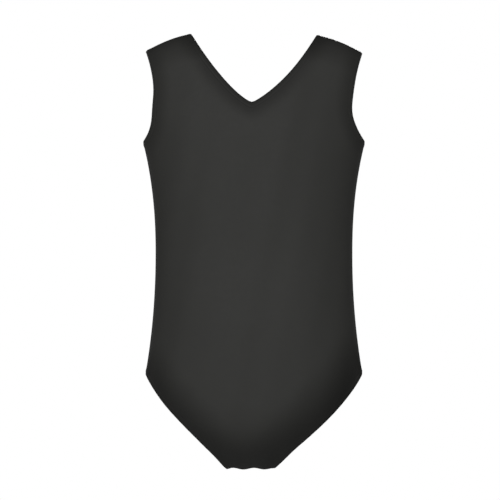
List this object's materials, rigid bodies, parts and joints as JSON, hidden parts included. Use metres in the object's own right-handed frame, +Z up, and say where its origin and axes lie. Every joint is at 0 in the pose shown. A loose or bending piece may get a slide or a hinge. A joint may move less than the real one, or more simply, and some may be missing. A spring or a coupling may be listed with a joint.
{
  "type": "gymnastics leotard",
  "caption": "Sleeveless one-piece gymnastics garment in dark stretch knit, with a V neck, a scooped back, elasticated edges and a lined crotch.",
  "frame": {"origin": "on the centre line at the top of the shoulder seams, where a wearer's shoulders or a hanger carry the garment", "axes": "+Z up, from crotch to shoulders; the front faces -Y; the wearer's left side is +X"},
  "size_m": [0.305, 0.1023, 0.6011],
  "materials": {
    "shell_knit": "soft satin nylon and elastane knit, near black",
    "lining_knit": "matt soft lining knit, black",
    "edge_elastic": "matt ribbed elastic, black",
    "thread": "woolly polyester thread, black",
    "stay_tape": "frosted clear elastic tape",
    "label_satin": "off-white printed satin, left blank"
  },
  "bodies": {
    "garment": {"front_panel": "shell_knit", "back_panel": "shell_knit", "neck_elastic": "edge_elastic", "neck_hem": "shell_knit", "neck_stitching": "thread", "left_armhole_elastic": "edge_elastic", "left_armhole_hem": "shell_knit", "left_armhole_stitching": "thread", "right_armhole_elastic": "edge_elastic", "right_armhole_hem": "shell_knit", "right_armhole_stitching": "thread", "left_leg_elastic": "edge_elastic", "left_leg_hem": "shell_knit", "left_leg_stitching": "thread", "right_leg_elastic": "edge_elastic", "right_leg_hem": "shell_knit", "right_leg_stitching": "thread", "left_side_seam": "shell_knit", "right_side_seam": "shell_knit", "left_shoulder_seam": "shell_knit", "right_shoulder_seam": "shell_knit", "left_shoulder_tape": "stay_tape", "right_shoulder_tape": "stay_tape", "crotch_seam": "shell_knit", "crotch_gusset": "lining_knit", "gusset_stitching": "thread", "label_stitching": "thread"},
    "label": {"care_label": "label_satin"}
  },
  "joints": [
    {"name": "label_flap", "type": "hinge", "parent": "garment", "child": "label", "pos_m": [0, 0.03564, -0.14125], "axis": [-1, 0, 0], "range_deg": [0, 150]}
  ]
}
